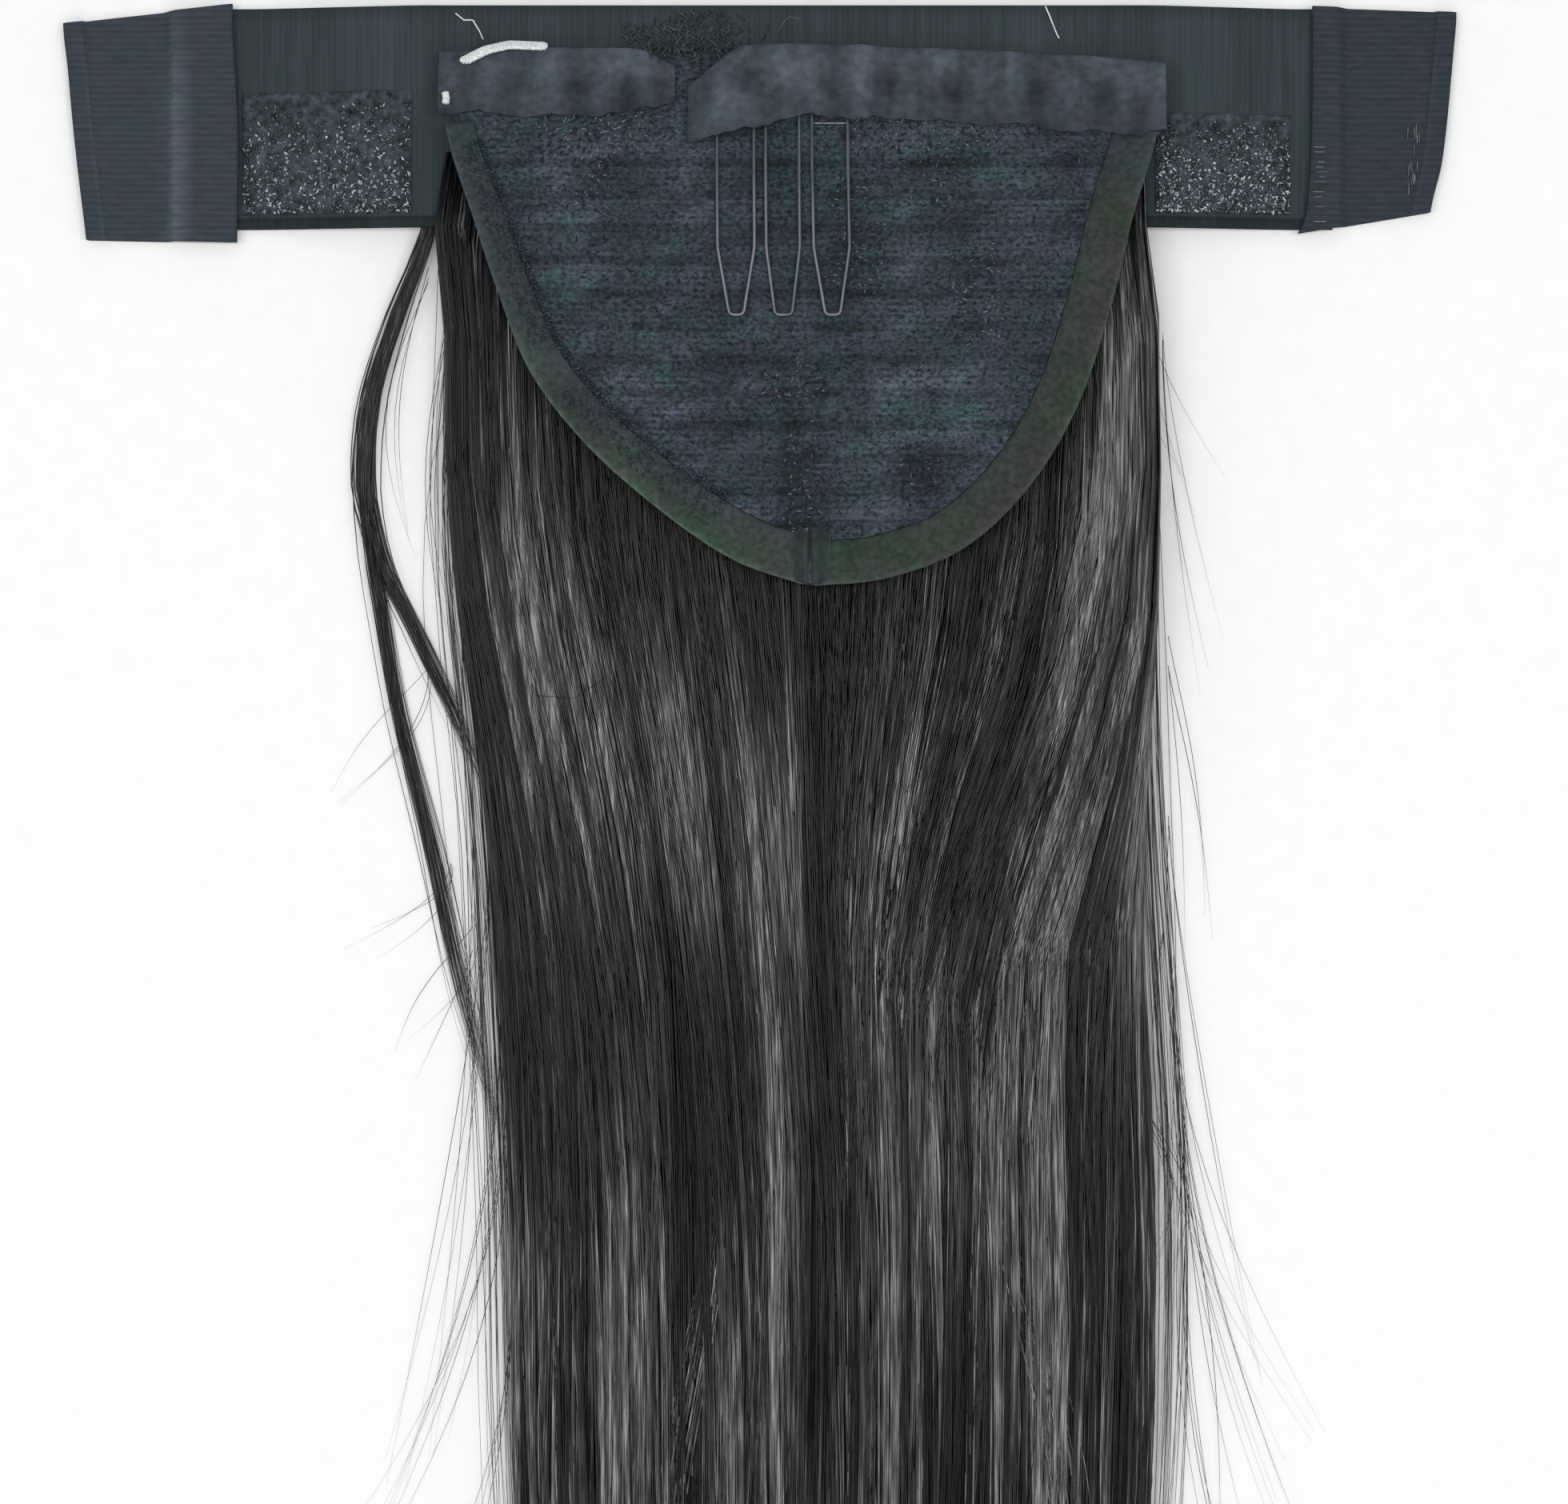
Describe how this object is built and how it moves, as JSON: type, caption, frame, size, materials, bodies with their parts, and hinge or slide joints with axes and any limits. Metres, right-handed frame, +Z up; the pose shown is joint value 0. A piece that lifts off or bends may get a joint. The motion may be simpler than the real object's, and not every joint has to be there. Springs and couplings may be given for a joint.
{
  "type": "ponytail hairpiece",
  "caption": "Wrap-round straight ponytail hairpiece with elastic strap, pile pads, ribbon ends, net cap, bound edge and wire comb, lying flat.",
  "frame": {"origin": "on the surface it lies on, under the middle of its outline", "axes": "+X along the strap, +Y from the hair tips towards the strap, +Z up, out of the cap's inner side"},
  "size_m": [0.2532, 0.406, 0.0197],
  "materials": {
    "hair": "straight black synthetic hair with a soft grey sheen along the strands",
    "net": "navy-black machine-sewn wig net, matt with pale speckle",
    "binding": "smooth dark grey-green stretch binding with a fine pale rim line",
    "tape": "dark purple-grey gathered knitted tape",
    "strap": "grey-green woven elastic with faint upright ribs",
    "pile": "looped hook-and-loop pile with bright flecks",
    "end_ribbon": "dark cross-ribbed ribbon",
    "comb_steel": "round drawn spring wire, light grey",
    "weft": "sewn weft tracks, matt black"
  },
  "bodies": {
    "root": {"wrap_strap": "strap", "pile_left": "pile", "pile_right": "pile", "end_tab_left": "end_ribbon", "end_tab_right": "end_ribbon", "cap_net": "net", "edge_binding": "binding", "top_tape_left": "tape", "top_tape_right": "tape", "comb_wire": "comb_steel", "hair_outer_layer": "hair", "hair_inner_layer": "hair", "loose_lock_outer": "hair", "loose_lock_inner": "hair", "weft_track_01": "weft", "weft_track_02": "weft", "weft_track_03": "weft", "weft_track_04": "weft", "weft_track_05": "weft", "weft_track_06": "weft", "weft_track_07": "weft", "weft_track_08": "weft", "weft_track_09": "weft", "weft_track_10": "weft", "weft_track_11": "weft"}
  },
  "joints": []
}
